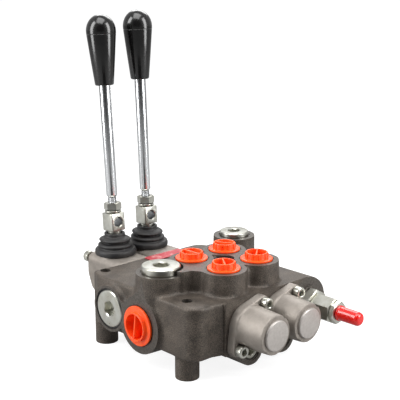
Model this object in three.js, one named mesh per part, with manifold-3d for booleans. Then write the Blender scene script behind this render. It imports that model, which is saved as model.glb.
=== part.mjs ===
// Two-spool hydraulic monoblock valve with hand levers, in millimetres.
// X runs along the spools towards the spring caps, Y across the two sections, Z up.
// Section 1 is the one nearer -Y. The model is built about the middle of the four work ports
// and the whole group is then moved, so that the origin is under the middle of its box, at the feet.
import * as THREE from 'three';
import Module from 'manifold-3d';
import { mergeVertices } from 'three/addons/utils/BufferGeometryUtils.js';

const wasm = await Module();
wasm.setup();

// ---- Driving dimensions ----
const pitch = 38; // between the spool axes, and between the work ports
const sections = [-pitch / 2, pitch / 2]; // Y of each spool axis
const spoolZ = 41.7; // height of the spool axes
const gap = 0.3; // between pieces that touch

const block = { x0: -92, x1: 38, y0: -69, y1: 60, z0: 20, z1: 63.5, corner: 12 };
const pad = { x1: 43, y0: -40.6, y1: 57, z0: 19.5 }; // machined face on the spring cap side
const bossTop = 81.8; // height of the work and pressure port faces
const bossRoot = block.z1 - 4; // the bosses start inside the block
const rib = { half: 9, drop: 3 }; // the bosses are joined by ribs, this far each side and below their tops
const workBossR = 18.4;
const tankTop = { x: -19, y: -52.4, r: 20.5, top: 77.8 };
const pressureTop = { x: -45, y: 57, r: 18.4 };
const carryOver = { x: -62, z: 39.5, r: 19.5 };
const tankSide = { x: -23.2, z: 35.7, r: 23.5 };
const pressureSide = { x: -45, z: 39.5, r: 20 };
const frontFace = -73; // Y of the side port faces nearer the tank
const backFace = 79; // Y of the pressure side port face
const feet = [[-86.5, -57], [17, -57], [-14, 48]]; // x, y of each post
const footR = 9.6;
const footHoleR = 4.5;

const halfInchR = 10.3; // bore of a G 1/2 port
const threeQuarterR = 13.2; // bore of a G 3/4 port
const portFloor = 62; // height where the bores of the top ports end
const galleryR = 7;
const relief = { y: 57, z: 40.5, r: 22, faceX: 45 };
const checks = { // the lobes of the load check valves
  y: [-10.2, 27.8], z: 16.7, r: 12.8, x0: -10,
  plugR: 7.8, seatR: 6.6, drillR: 4,
};

const spoolR = 8.7;
const spoolBoreR = 9;
const capScrewAt = { y: 13.9, z: 16.2 }; // of a spring cap's two screws, from its spool axis
const housingScrewAt = { y: 14.4, z: -16.9 }; // and of a lever housing's two
const screwHoleR = 3.2;
const screw = { shankR: 2.9, headR: 5, headHigh: 5.7, socket: 5 }; // M6, socket head

const pivot = { x: -120.5, z: 62.7 };
const armLength = 21; // from the lever's pivot to the centre of its lower ball
const leans = [4, 2.9]; // degrees that each lever leans away from the valve at rest
const extra = [-1.8, 0.8]; // how much farther out each lever's knob is than drawn

const bore = { sides: 10 }; // a hidden bore has fewer sides than the usual 16
const small = { sides: 8 }; // and a screw hole fewer still

// ---- Finishes ----
const finish = (color, roughness, metalness) => () =>
  new THREE.MeshStandardMaterial({ color, roughness, metalness });
const castIron = finish(0x5f5852, 0.75, 0.35);
const dieCast = finish(0xa8a49c, 0.55, 0.6);
const zinc = finish(0xc9ccc8, 0.3, 0.9);
const steel = finish(0x9a9c9e, 0.35, 0.9);
const chrome = finish(0xdde0e2, 0.12, 1);
const blackKnob = finish(0x161616, 0.2, 0);
const blackRubber = finish(0x1d1d1f, 0.7, 0);
const orangePlastic = finish(0xff5a1e, 0.45, 0);
const redPlastic = finish(0xd8141c, 0.3, 0);
const redPlate = finish(0xa8323c, 0.5, 0.2);

// ---- Solids ----
const X = new THREE.Vector3(1, 0, 0);
const Y = new THREE.Vector3(0, 1, 0);
const Z = new THREE.Vector3(0, 0, 1);

// Makes a closed geometry into a solid, with its faces pointing out. Its corners are kept to a whole
// micrometre, so that faces meant to be flush are exactly so.
function solid(geometry) {
  geometry.deleteAttribute('normal');
  geometry.deleteAttribute('uv');
  const merged = mergeVertices(geometry, 1e-4);
  const corners = merged.attributes.position.array.map((value) => Math.round(value * 1000) / 1000);
  const triangles = new Uint32Array(merged.index.array);
  const point = (i) => new THREE.Vector3().fromArray(corners, 3 * i);
  let volume = 0;
  for (let t = 0; t < triangles.length; t += 3) {
    const [a, b, c] = [0, 1, 2].map((k) => point(triangles[t + k]));
    volume += a.dot(b.cross(c));
  }
  if (volume < 0) triangles.reverse();
  return new wasm.Manifold(new wasm.Mesh({ numProp: 3, vertProperties: corners, triVerts: triangles }));
}

const join = (first, ...others) => others.reduce((sum, other) => sum.add(other), first);
const cut = (first, ...others) => others.reduce((rest, other) => rest.subtract(other), first);

// Turns a geometry that stands along Y so that it stands along an axis, and moves it to a point.
function stand(geometry, axis, at) {
  geometry.applyQuaternion(new THREE.Quaternion().setFromUnitVectors(Y, axis));
  return geometry.translate(...at);
}

// A turned body: its outline is a list of [radius, distance along the axis].
function turned(outline, axis, at, sides = 16) {
  const points = outline.map(([radius, along]) => new THREE.Vector2(radius, along));
  return solid(stand(new THREE.LatheGeometry(points, sides), axis, at));
}

// A round or many-sided bar about an axis, between two distances from a point on it.
function bar(radius, axis, at, from, to, sides = 16, spin = 0) {
  const geometry = new THREE.CylinderGeometry(radius, radius, to - from, sides);
  geometry.rotateY(spin).translate(0, (from + to) / 2, 0);
  return solid(stand(geometry, axis, at));
}

// A hexagonal bar, sized across its flats.
const hexBar = (flats, axis, at, from, to, spin = 0) =>
  bar(flats / Math.sqrt(3), axis, at, from, to, 6, spin);

function box(x0, x1, y0, y1, z0, z1) {
  const geometry = new THREE.BoxGeometry(x1 - x0, y1 - y0, z1 - z0);
  return solid(geometry.translate((x0 + x1) / 2, (y0 + y1) / 2, (z0 + z1) / 2));
}

// An outline pushed along an axis. Its two coordinates are Y and Z for a push along X, Z and X for one
// along Y, and X and Y for one along Z.
function prism(shape, axis, from, to) {
  const settings = { depth: to - from, bevelEnabled: false, curveSegments: 5 };
  const geometry = new THREE.ExtrudeGeometry(shape, settings);
  const [across, up] = axis === X ? [Y, Z] : axis === Y ? [Z, X] : [X, Y];
  geometry.translate(0, 0, from);
  return solid(geometry.applyMatrix4(new THREE.Matrix4().makeBasis(across, up, axis)));
}

const polygon = (...points) => new THREE.Shape(points.map(([a, b]) => new THREE.Vector2(a, b)));

function roundedRectangle(a0, a1, b0, b1, r) {
  const shape = new THREE.Shape();
  shape.absarc(a1 - r, b1 - r, r, 0, Math.PI / 2);
  shape.absarc(a0 + r, b1 - r, r, Math.PI / 2, Math.PI);
  shape.absarc(a0 + r, b0 + r, r, Math.PI, 1.5 * Math.PI);
  shape.absarc(a1 - r, b0 + r, r, 1.5 * Math.PI, 2 * Math.PI);
  return shape;
}

// The outline round two circles of one radius.
function slotOutline(a0, b0, a1, b1, r) {
  const along = Math.atan2(b1 - b0, a1 - a0);
  const shape = new THREE.Shape();
  shape.absarc(a1, b1, r, along - Math.PI / 2, along + Math.PI / 2);
  shape.absarc(a0, b0, r, along + Math.PI / 2, along + 1.5 * Math.PI);
  return shape;
}

const valve = new THREE.Group();

// Makes a solid into a named mesh of a group.
function piece(name, body, material, group = valve) {
  const { vertProperties, triVerts } = body.getMesh();
  const geometry = new THREE.BufferGeometry();
  geometry.setAttribute('position', new THREE.BufferAttribute(vertProperties, 3));
  geometry.setIndex(new THREE.BufferAttribute(triVerts, 1));
  const mesh = new THREE.Mesh(geometry, material());
  mesh.name = name;
  group.add(mesh);
}

// The two fixing screws of a cap or housing lie on a diagonal through its spool axis.
const screwCentres = (y, at) => [1, -1].map((end) => [y + end * at.y, spoolZ + end * at.z]);

// ---- Valve body: one iron casting ----
const workPorts = sections.flatMap((y) => sections.map((x) => [x, y])); // lever side first

function valveBody() {
  const { x0, x1, y0, y1, z0, z1, corner } = block;
  const front = [0, relief.y, relief.z];
  const { half, drop } = rib;
  const portHalf = pitch / 2;
  let body = join(
    prism(roundedRectangle(x0, x1, y0, y1, corner), Z, z0, z1),
    box(x1 - 8, pad.x1, pad.y0, pad.y1, pad.z0, z1),
    bar(relief.r, X, front, -6, pad.x1),
    bar(15, X, front, pad.x1 - 1, relief.faceX),
    ...workPorts.map(([x, y]) => bar(workBossR, Z, [x, y, 0], bossRoot, bossTop)),
    ...sections.map((y) => box(-portHalf, portHalf, y - half, y + half, bossRoot, bossTop)),
    ...sections.map((x) => box(x - half, x + half, -portHalf, portHalf, bossRoot, bossTop - drop)),
    box(-portHalf - half, -portHalf + 12, tankTop.y, -portHalf, bossRoot, tankTop.top - drop),
    bar(tankTop.r, Z, [tankTop.x, tankTop.y, 0], z0 + 5, tankTop.top),
    bar(pressureTop.r, Z, [pressureTop.x, pressureTop.y, 0], z0 + 5, bossTop),
    ...feet.map(([x, y]) => bar(footR, Z, [x, y, 0], 0, z1)),
  );
  const throatZ = tankSide.z + 12; // where the tank boss starts to narrow towards the ledge
  body = join(
    body,
    bar(carryOver.r, Y, [carryOver.x, 0, carryOver.z], frontFace, y0 + 12),
    bar(tankSide.r, Y, [tankSide.x, 0, tankSide.z], frontFace, y0 + 12, bore.sides),
    prism(
      polygon([throatZ, tankSide.x - 20.2], [z1, tankSide.x - 4], [z1, tankSide.x + 4],
        [throatZ, tankSide.x + 20.2]),
      Y, frontFace, y0 + 12,
    ),
    bar(pressureSide.r, Y, [pressureSide.x, 0, pressureSide.z], y1 - 12, backFace),
    ...checks.y.map((y) => bar(checks.r, X, [0, y, checks.z], checks.x0, pad.x1)),
    ...checks.y.map((y) => prism(
      polygon([y - 28.5, z0 + 1], [y - 28.5, z0 - 0.5], [y - 7.4, checks.z - 10.4],
        [y + checks.r, checks.z], [y + checks.r, z0 + 1]),
      X, checks.x0, pad.x1,
    )),
  );
  const faceCut = bossTop + 1; // cutters run out above the port faces
  body = cut(
    body,
    box(-7.5, 7.5, -7.5, 7.5, z1 + 1, faceCut),
    ...sections.map((y) => bar(spoolBoreR, X, [0, y, spoolZ], x0 - 1, pad.x1 + 1)),
    ...sections.map((y) => bar(12, X, [0, y, spoolZ], pad.x1 - 8, pad.x1 + 1)),
    ...sections.map((y) => bar(11.3, X, [0, y, spoolZ], x0 + 3, x0 + 6.6)),
    ...workPorts.map(([x, y]) => bar(halfInchR, Z, [x, y, 0], portFloor - 2, faceCut)),
    ...workPorts.map(([x, y]) => bar(galleryR, Z, [x, y, 0], spoolZ + 5, portFloor - 1, small.sides)),
    ...workPorts.map(([x, y]) => bar(14.4, Z, [x, y, 0], bossTop - 0.6, faceCut)),
  );
  body = cut(
    body,
    bar(17, Z, [tankTop.x, tankTop.y, 0], tankTop.top - 0.8, faceCut),
    bar(threeQuarterR, Z, [tankTop.x, tankTop.y, 0], portFloor, faceCut),
    bar(10, Z, [tankTop.x, tankTop.y, 0], tankSide.z, portFloor + 1, bore.sides),
    bar(threeQuarterR, Y, [tankSide.x, 0, tankSide.z], frontFace - 1, -48),
    bar(14, Z, [pressureTop.x, pressureTop.y, 0], bossTop - 0.8, faceCut),
    bar(halfInchR, Z, [pressureTop.x, pressureTop.y, 0], portFloor, faceCut),
    bar(8, Z, [pressureTop.x, pressureTop.y, 0], pressureSide.z, portFloor + 1, bore.sides),
    bar(halfInchR, Y, [pressureSide.x, 0, pressureSide.z], 54, backFace + 1),
    bar(17.5, Y, [carryOver.x, 0, carryOver.z], frontFace - 1, frontFace + 4.6),
    bar(threeQuarterR, Y, [carryOver.x, 0, carryOver.z], frontFace - 1, -50),
    bar(galleryR, Y, [carryOver.x, 0, carryOver.z], -51, -24, bore.sides),
    bar(galleryR, Y, [pressureSide.x, 0, pressureSide.z], 14, 55, bore.sides),
  );
  const screwHoles = (at, from, to) => sections.flatMap((y) => screwCentres(y, at)).map(
    ([y, z]) => bar(screwHoleR, X, [0, y, z], from, to, small.sides),
  );
  return cut(
    body,
    bar(10.5, X, front, 16, relief.faceX + 1),
    bar(4, X, front, -46, 17, bore.sides),
    ...checks.y.map((y) => bar(checks.plugR + 1.3, X, [0, y, checks.z], 42, pad.x1 + 1)),
    ...checks.y.map((y) => bar(checks.plugR + gap, X, [0, y, checks.z], 26, pad.x1 + 1)),
    ...checks.y.map((y) => bar(checks.seatR, X, [0, y, checks.z], 0, 27, bore.sides)),
    ...checks.y.map(
      (y, i) => bar(checks.drillR, Z, [8, (y + sections[i]) / 2, 0], checks.z, spoolZ, small.sides),
    ),
    ...feet.map(([x, y]) => bar(footHoleR, Z, [x, y, 0], -1, bossTop, bore.sides)),
    ...screwHoles(capScrewAt, 31, pad.x1 + 1),
    ...screwHoles(housingScrewAt, x0 - 1, x0 + 12),
  );
}
piece('valve_body', valveBody(), castIron);
piece('name_plate', box(-90, -77, -11, 30, block.z1 + 0.2, block.z1 + 0.8), redPlate);

// ---- Steel plugs with hexagon sockets ----
function socketPlug({ flangeR, threadR, socket }, axis, at, flangeFrom, flangeTo, threadLong) {
  const threadFrom = flangeFrom - threadLong;
  return cut(
    turned(
      [[0, threadFrom], [threadR - 1, threadFrom], [threadR, threadFrom + 1], [threadR, flangeFrom],
        [flangeR, flangeFrom], [flangeR, flangeTo - 0.7], [flangeR - 0.7, flangeTo], [0, flangeTo]],
      axis, at,
    ),
    hexBar(socket, axis, at, flangeTo - 7, flangeTo + 1),
  );
}
const threeQuarterPlug = { flangeR: 16, threadR: 12.8, socket: 12 };
const halfInchPlug = { flangeR: 13, threadR: 9.9, socket: 10 };
const plugSink = 0.5; // how far a top plug sits in its counterbore
piece('tank_top_plug', socketPlug(threeQuarterPlug, Z, [tankTop.x, tankTop.y, 0],
  tankTop.top - plugSink, tankTop.top + 5.8, 12.5), zinc);
piece('pressure_top_plug', socketPlug(halfInchPlug, Z, [pressureTop.x, pressureTop.y, 0],
  bossTop - plugSink, bossTop + 4, 14), zinc);
const inward = Y.clone().negate();
const carryOverAt = [carryOver.x, 0, carryOver.z];
piece('carry_over_plug', socketPlug(threeQuarterPlug, inward, carryOverAt,
  -frontFace - 4.2, -frontFace, 12.8), zinc);
piece('carry_over_plug_seal', turned(
  [[16.2, 69], [17.3, 69], [17.3, 72.2], [16.2, 72.2], [16.2, 69]], inward, carryOverAt,
), blackRubber);

// ---- Load check valves in the lobes under the spools ----
checks.y.forEach((y, i) => {
  const at = [0, y, checks.z];
  piece(`check_valve_plug_${i + 1}`, cut(
    bar(checks.plugR, X, at, 29, 42), hexBar(8, X, at, 36, 43),
  ), zinc);
  piece(`check_valve_poppet_${i + 1}`, turned(
    [[0, 6], [2.5, 6], [6, 10.5], [6, 23], [4.4, 23], [4.4, 15], [0, 15]], X, at,
  ), steel);
});

// ---- Spring caps with their screws, and the centring springs inside ----
const cap = { x0: pad.x1 + gap, flange: 50.6, rim: 76.1, end: 78.3, discR: 12.4, cavity: 74.5, earR: 5.8 };

function springCap(y) {
  const at = [0, y, spoolZ];
  const [upper, lower] = screwCentres(y, capScrewAt);
  return cut(
    join(
      prism(slotOutline(...upper, ...lower, cap.earR), X, cap.x0, cap.flange),
      prism(slotOutline(y + 4.4, spoolZ + 5.4, y - 4.4, spoolZ - 5.4, 14.6), X, cap.x0, cap.flange),
      turned(
        [[0, cap.x0], [18, cap.x0], [18, cap.flange], [17.4, 58], [15.9, cap.rim - 1], [15, cap.rim],
          [cap.discR, cap.rim], [cap.discR, cap.end - 0.6], [cap.discR - 0.6, cap.end], [0, cap.end]],
        X, at,
      ),
    ),
    bar(12.5, X, at, cap.x0 - 1, cap.cavity),
    ...[upper, lower].map(
      ([sy, sz]) => bar(screwHoleR, X, [0, sy, sz], cap.x0 - 1, cap.flange + 1, small.sides),
    ),
    ...[upper, lower].map(([sy, sz]) => bar(6.4, X, [0, sy, sz], cap.flange, cap.rim)),
  );
}

// A socket head screw, from the tip of its thread to the face of its head.
function socketScrew(axis, at, tip, seat) {
  const { shankR, headR, headHigh, socket } = screw;
  const face = seat + headHigh;
  return cut(
    turned(
      [[0, tip], [shankR, tip], [shankR, seat], [headR, seat], [headR, face - 0.5], [headR - 0.5, face],
        [0, face]],
      axis, at, 12,
    ),
    hexBar(socket, axis, at, face - 3, face + 1),
  );
}

let capScrew = 0;
sections.forEach((y, i) => {
  const at = [0, y, spoolZ];
  piece(`spring_cap_${i + 1}`, springCap(y), dieCast);
  screwCentres(y, capScrewAt).forEach(([sy, sz]) => {
    capScrew += 1;
    piece(`spring_cap_screw_${capScrew}`, socketScrew(X, [0, sy, sz], 33, cap.flange + gap), zinc);
  });
  piece(`spring_cup_${i + 1}`, turned(
    [[3.4, 42.2], [11.2, 42.2], [11.2, 45.5], [9.9, 45.5], [9.9, 43.6], [3.4, 43.6], [3.4, 42.2]], X, at,
  ), steel);
  piece(`centering_spring_${i + 1}`, turned(
    [[7.6, 43.9], [9.5, 43.9], [9.5, 61.7], [7.6, 61.7], [7.6, 43.9]], X, at,
  ), steel);
  piece(`spring_bolt_${i + 1}`, turned(
    [[0, 36], [3, 36], [3, 62], [9.6, 62], [9.6, 63.6], [6, 63.6], [6, 67], [0, 67]], X, at,
  ), steel);
});

// ---- Spools and their seals at the lever end ----
sections.forEach((y, i) => {
  const at = [0, y, spoolZ];
  const eyeX = pivot.x + armLength * Math.sin(THREE.MathUtils.degToRad(leans[i]));
  piece(`spool_${i + 1}`, cut(
    turned(
      [[0, -127.5], [8.2, -127.5], [spoolR, -127], [spoolR, -56], [6, -54], [6, -36], [spoolR, -34],
        [spoolR, -9], [6, -7], [6, 7], [spoolR, 9], [spoolR, 41.9], [0, 41.9]],
      X, at,
    ),
    bar(3.3, X, at, 35, 43, bore.sides),
    box(-128, -112, y - 10, y + 10, spoolZ + 4.5, spoolZ + 10),
    box(-128, -112, y - 10, y + 10, spoolZ - 10, spoolZ - 4.5),
    bar(5.4, Z, [eyeX, y, 0], spoolZ - 6, spoolZ + 6),
  ), chrome);
  piece(`spool_seal_${i + 1}`, turned(
    [[9.05, -88.7], [11, -88.7], [11, -85.7], [9.05, -85.7], [9.05, -88.7]], X, at,
  ), blackRubber);
});

// ---- Lever housings, with their screws and pivot seats ----
const housing = {
  x0: -139, x1: block.x0 - gap, half: 18.4, z0: 18.5, z1: 63.2, corner: 7,
  neckR: 16.5, neckTop: 67.2, seatR: 10.6,
};
const housingSeats = [housing.x1 - 12, housing.x0 + 0.5]; // X under the heads of the lower and upper screw

function leverHousing(y) {
  const { x0, x1, half, z0, z1, corner, neckR, neckTop, seatR } = housing;
  const across = new THREE.Shape();
  across.moveTo(y - half, z1);
  across.lineTo(y - half, z0 + corner);
  across.absarc(y - half + corner, z0 + corner, corner, Math.PI, 1.5 * Math.PI);
  across.absarc(y + half - corner, z0 + corner, corner, 1.5 * Math.PI, 2 * Math.PI);
  across.lineTo(y + half, z1);
  const side = polygon(
    [z0, x1], [z1, x1], [z1, x0], [z0 + 25, x0], [z0 + 10, x0 + 4], [z0 + 5, x0 + 14], [z0, x1 - 14],
  );
  const screws = screwCentres(y, housingScrewAt);
  return cut(
    join(
      prism(across, X, x0, x1).intersect(prism(side, Y, y - half - 1, y + half + 1)),
      bar(neckR, Z, [pivot.x, y, 0], z1 - 1, neckTop),
    ),
    bar(9.9, X, [0, y, spoolZ], x0 + 3, x1 + 1),
    bar(8.6, Z, [pivot.x, y, 0], spoolZ, 57),
    bar(seatR, Z, [pivot.x, y, 0], 55.5, neckTop + 1),
    ...screws.map(([sy, sz]) => bar(screwHoleR, X, [0, sy, sz], x0 - 1, x1 + 1, small.sides)),
    ...screws.map(([sy, sz], n) => bar(5.6, X, [0, sy, sz], x0 - 1, housingSeats[n])),
  );
}

let housingScrew = 0;
sections.forEach((y, i) => {
  piece(`lever_housing_${i + 1}`, leverHousing(y), dieCast);
  screwCentres(y, housingScrewAt).forEach(([sy, sz], n) => {
    housingScrew += 1;
    piece(`lever_housing_screw_${housingScrew}`,
      socketScrew(X.clone().negate(), [0, sy, sz], 81, gap - housingSeats[n]), zinc);
  });
  const seatR = housing.seatR - gap;
  piece(`pivot_seat_${i + 1}`, turned(
    [[6.4, 55.8], [seatR, 55.8], [seatR, 67], [8.4, 67], [8.4, 60.4], [6.4, 57.4], [6.4, 55.8]],
    Z, [pivot.x, y, 0],
  ), steel);
});

// ---- Rubber boots over the lever pivots ----
function boot(y, lean) {
  const slope = Math.tan(THREE.MathUtils.degToRad(lean));
  const outline = [
    [17.1, 63.6], [18.3, 63.6], [18.8, 66], [17.6, 68.8], [14.8, 69.8], [15.5, 72.4], [11.8, 74.8],
    [14.4, 77], [9.4, 79.6], [9.5, 83], [6.8, 83], [6.8, 79], [12, 76.6], [9.8, 74.8], [13.7, 72.2],
    [12.8, 69.2], [17.1, 67.8], [17.1, 63.6],
  ]; // radius, height
  const geometry = new THREE.LatheGeometry(outline.map(([r, z]) => new THREE.Vector2(r, z)), 16);
  geometry.rotateX(Math.PI / 2);
  const foldsFrom = 68.5; // the folds above this height follow the lever, a little more than it leans
  const corners = geometry.attributes.position;
  for (let i = 0; i < corners.count; i += 1) {
    const above = Math.max(0, corners.getZ(i) - foldsFrom);
    corners.setX(i, corners.getX(i) - 1.22 * above * slope);
  }
  return solid(geometry.translate(pivot.x, y, 0));
}
sections.forEach((y, i) => piece(`boot_${i + 1}`, boot(y, leans[i]), blackRubber));

// ---- Hand levers, each built upright about its pivot and leaned as one group ----
const lever = {
  ballR: 8, arm: 2.6, endBallR: 4.6, neckR: 6, blockZ: 30.4, blockHigh: 16.5, blockHalf: 7, holeR: 4.25,
  threadR: 3.9, nut: 41.3, nutTop: 47.8, nutFlats: 13, rod: 54, rodR: 5, knob: 154.4, knobLong: 61.3,
  knobR: 13,
};
sections.forEach((y, i) => {
  const group = new THREE.Group();
  group.position.set(pivot.x, y, pivot.z);
  group.rotation.y = -THREE.MathUtils.degToRad(leans[i]);
  valve.add(group);
  const n = i + 1;
  const at = [0, 0, 0];
  const { blockHalf, rodR, threadR, knobR } = lever;
  const blockBottom = lever.blockZ - lever.blockHigh / 2;
  const blockTop = lever.blockZ + lever.blockHigh / 2;
  piece(`lever_stem_${n}`, cut(
    join(
      solid(new THREE.SphereGeometry(lever.ballR, 16, 8)),
      bar(lever.arm, Z, at, -armLength, 0, bore.sides),
      solid(new THREE.SphereGeometry(lever.endBallR, 12, 6).translate(0, 0, -armLength)),
      bar(lever.neckR, Z, at, 2, blockBottom + 1),
      box(-blockHalf, blockHalf, -blockHalf, blockHalf, blockBottom, blockTop),
    ),
    bar(lever.holeR, X, [0, 0, lever.blockZ], -blockHalf - 1, blockHalf + 1),
    bar(threadR + gap, Z, at, lever.blockZ, blockTop + 1),
  ), zinc, group);
  const washer = { r0: threadR + 0.4, r1: blockHalf, z0: blockTop + gap, z1: lever.nut - gap };
  piece(`lever_washer_${n}`, turned(
    [[washer.r0, washer.z0], [washer.r1, washer.z0], [washer.r1, washer.z1], [washer.r0, washer.z1],
      [washer.r0, washer.z0]], Z, at,
  ), steel, group);
  piece(`lever_nut_${n}`, cut(
    hexBar(lever.nutFlats, Z, at, lever.nut, lever.nutTop),
    bar(threadR + gap, Z, at, lever.nut - 1, lever.nutTop + 1),
  ), zinc, group);
  const knob = lever.knob + extra[i];
  const knobTop = knob + lever.knobLong;
  const rodTop = knob + 27.6;
  piece(`lever_rod_${n}`, turned(
    [[0, 35.4], [threadR, 35.4], [threadR, lever.rod - 1.2], [rodR, lever.rod], [rodR, rodTop], [0, rodTop]],
    Z, at,
  ), chrome, group);
  const dome = Array.from({ length: 5 }, (_, k) => {
    const angle = (k / 5) * Math.PI / 2;
    return [knobR * Math.cos(angle), knobTop - knobR * (1 - Math.sin(angle))];
  });
  piece(`lever_knob_${n}`, turned(
    [[0, rodTop + 1], [rodR + gap, rodTop + 1], [rodR + gap, knob], [7.6, knob], [8.25, knob + 0.7],
      [knobR - 0.1, knobTop - 16.1], ...dome, [0, knobTop]], Z, at,
  ), blackKnob, group);
});

// ---- Relief valve ----
const reliefAt = [0, relief.y, relief.z];
const flatOnTop = Math.PI / 6; // turns a hexagon so that one of its flats faces up
const screwThreadR = 3.9; // of the adjusting screw
const springRoomR = 5.6;
piece('relief_cartridge', cut(
  join(bar(10.2, X, reliefAt, 18, 46), hexBar(24, X, reliefAt, relief.faceX + gap, 53, flatOnTop)),
  bar(springRoomR, X, reliefAt, 24, 54),
  bar(2.6, X, reliefAt, 17, 25),
), zinc);
piece('relief_spring_housing', cut(
  hexBar(19, X, reliefAt, 53 + gap, 72.5, flatOnTop),
  bar(springRoomR, X, reliefAt, 53, 66),
  bar(screwThreadR + gap, X, reliefAt, 65, 73),
), zinc);
piece('relief_lock_nut', cut(
  hexBar(17, X, reliefAt, 72.5 + gap, 77, 0.2), bar(screwThreadR + gap, X, reliefAt, 72, 78),
), zinc);
piece('relief_adjusting_screw', turned(
  [[0, 60.5], [5.2, 60.5], [5.2, 63], [screwThreadR, 63], [screwThreadR, 92], [0, 92]], X, reliefAt,
), steel);
piece('relief_spring', turned(
  [[3.5, 35.3], [5.2, 35.3], [5.2, 60.2], [3.5, 60.2], [3.5, 35.3]], X, reliefAt,
), steel);
piece('relief_poppet', turned([[0, 25], [2.2, 25], [4.9, 29.5], [5.2, 35], [0, 35]], X, reliefAt), steel);
piece('relief_cap', turned(
  [[0, 94], [4.4, 94], [4.4, 77.3], [6.5, 77.3], [6.5, 78.8], [5.75, 79.2], [5.75, 96.8], [4.6, 98.4],
    [0, 99]],
  X, reliefAt,
), redPlastic);

// ---- Plastic port caps: a flanged cup with a rib across it ----
const capWall = 1.3;
const capSkirt = { long: 8, floor: 6.8 }; // below the port face: its end, and the cup's floor

function portCap(cup, flange, skirtR, axis, at, face, turn) {
  const { r, rise } = cup;
  const top = face + rise;
  const step = face + flange.thick;
  const floor = face - capSkirt.floor;
  const sleeve = turned(
    [[0, face - capSkirt.long], [skirtR, face - capSkirt.long], [skirtR, face], [flange.r, face],
      [flange.r, step], [r, step], [r, top], [r - capWall, top], [r - capWall, floor], [0, floor]],
    axis, at,
  );
  const grip = new THREE.BoxGeometry(2 * r - capWall, rise + 2, capWall);
  grip.translate(0, face + rise / 2 - 1, 0);
  return join(sleeve, solid(stand(grip.rotateY(THREE.MathUtils.degToRad(turn)), axis, at)));
}
const halfInchFlange = { r: 13.4, thick: 1.6 };
const halfInchSkirtR = 9.9;
const workCapTurns = { port_cap_a1: 2, port_cap_b1: -37, port_cap_a2: 32, port_cap_b2: -50 };
Object.entries(workCapTurns).forEach(([name, turn], i) => {
  const [x, y] = workPorts[i];
  piece(name, portCap({ r: 9.5, rise: 6.5 }, halfInchFlange, halfInchSkirtR, Z, [x, y, 0],
    bossTop - gap, turn), orangePlastic);
});
piece('port_cap_tank', portCap({ r: 12, rise: 4.6 }, { r: 16.6, thick: 1.8 }, 12.8, inward,
  [tankSide.x, 0, tankSide.z], -frontFace + gap, 83), orangePlastic);
piece('port_cap_pressure', portCap({ r: 9.5, rise: 6 }, halfInchFlange, halfInchSkirtR, Y,
  [pressureSide.x, 0, pressureSide.z], backFace + gap, 40), orangePlastic);

// ---- Origin: under the middle of the model's box ----
valve.updateMatrixWorld(true);
const bounds = new THREE.Box3().setFromObject(valve, true);
const middle = bounds.getCenter(new THREE.Vector3());
valve.position.set(-middle.x, -middle.y, -bounds.min.z);
valve.updateMatrixWorld(true);

export default valve;
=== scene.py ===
"""A two-spool hydraulic monoblock valve with hand levers, built up piece by piece as it is assembled."""
import math

import bmesh
import bpy
from mathutils import Matrix, Vector


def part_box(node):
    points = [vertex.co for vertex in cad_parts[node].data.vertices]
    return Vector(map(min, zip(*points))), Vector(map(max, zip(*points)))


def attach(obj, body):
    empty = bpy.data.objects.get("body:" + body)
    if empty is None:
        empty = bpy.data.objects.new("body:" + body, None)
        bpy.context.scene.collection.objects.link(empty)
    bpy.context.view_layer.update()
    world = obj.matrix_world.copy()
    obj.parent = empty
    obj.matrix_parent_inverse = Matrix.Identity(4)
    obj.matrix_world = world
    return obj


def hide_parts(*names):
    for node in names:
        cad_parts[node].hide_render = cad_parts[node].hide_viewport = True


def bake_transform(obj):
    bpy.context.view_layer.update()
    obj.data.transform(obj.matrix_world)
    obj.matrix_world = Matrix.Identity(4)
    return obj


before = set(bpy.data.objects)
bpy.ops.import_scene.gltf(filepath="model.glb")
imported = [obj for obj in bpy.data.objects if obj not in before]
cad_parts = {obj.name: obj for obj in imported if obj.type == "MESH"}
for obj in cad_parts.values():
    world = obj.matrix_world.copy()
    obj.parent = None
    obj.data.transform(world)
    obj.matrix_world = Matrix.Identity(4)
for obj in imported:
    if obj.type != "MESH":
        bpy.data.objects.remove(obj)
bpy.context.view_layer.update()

# ---- Camera, floor and studio lights ----
# Sizes are in millimetres, from the point at the feet under the middle of the four work ports.
# The camera looks a little down on the spring cap corner. Two tall soft boxes stand to its left and
# right, and wider ones hang above and stand behind.
MM = 0.001
X, Y, Z = Vector((1, 0, 0)), Vector((0, 1, 0)), Vector((0, 0, 1))
MIDDLE = (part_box("port_cap_a1")[0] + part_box("port_cap_b2")[1]) / 2
MIDDLE.z = 0


def place(x, y, z):
    return MIDDLE + Vector((x, y, z)) * MM


def around(target, azimuth, elevation, distance):
    """The point at a distance from a target; azimuth 0 is towards -Y and 90 towards X."""
    a, e = math.radians(azimuth), math.radians(elevation)
    direction = Vector((math.sin(a) * math.cos(e), -math.cos(a) * math.cos(e), math.sin(e)))
    return target + direction * distance * MM


def aim(data, location, target):
    """A camera or light that looks from a place at a target."""
    made = bpy.data.objects.new(data.name, data)
    bpy.context.scene.collection.objects.link(made)
    made.location = location
    made.rotation_euler = (target - location).to_track_quat("-Z", "Y").to_euler()
    return made


CAMERA_AZIMUTH, CAMERA_ELEVATION, CAMERA_DISTANCE = 46.8, 13.97, 792.8
LENS, SENSOR = 84, 36
looked_at = place(-37.3, 7.8, 123.5)
camera_data = bpy.data.cameras.new("camera")
camera_data.lens, camera_data.sensor_width = LENS, SENSOR
stand_point = around(looked_at, CAMERA_AZIMUTH, CAMERA_ELEVATION, CAMERA_DISTANCE)
bpy.context.scene.camera = aim(camera_data, stand_point, looked_at)
bpy.context.scene.view_settings.view_transform = "Standard"


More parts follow.
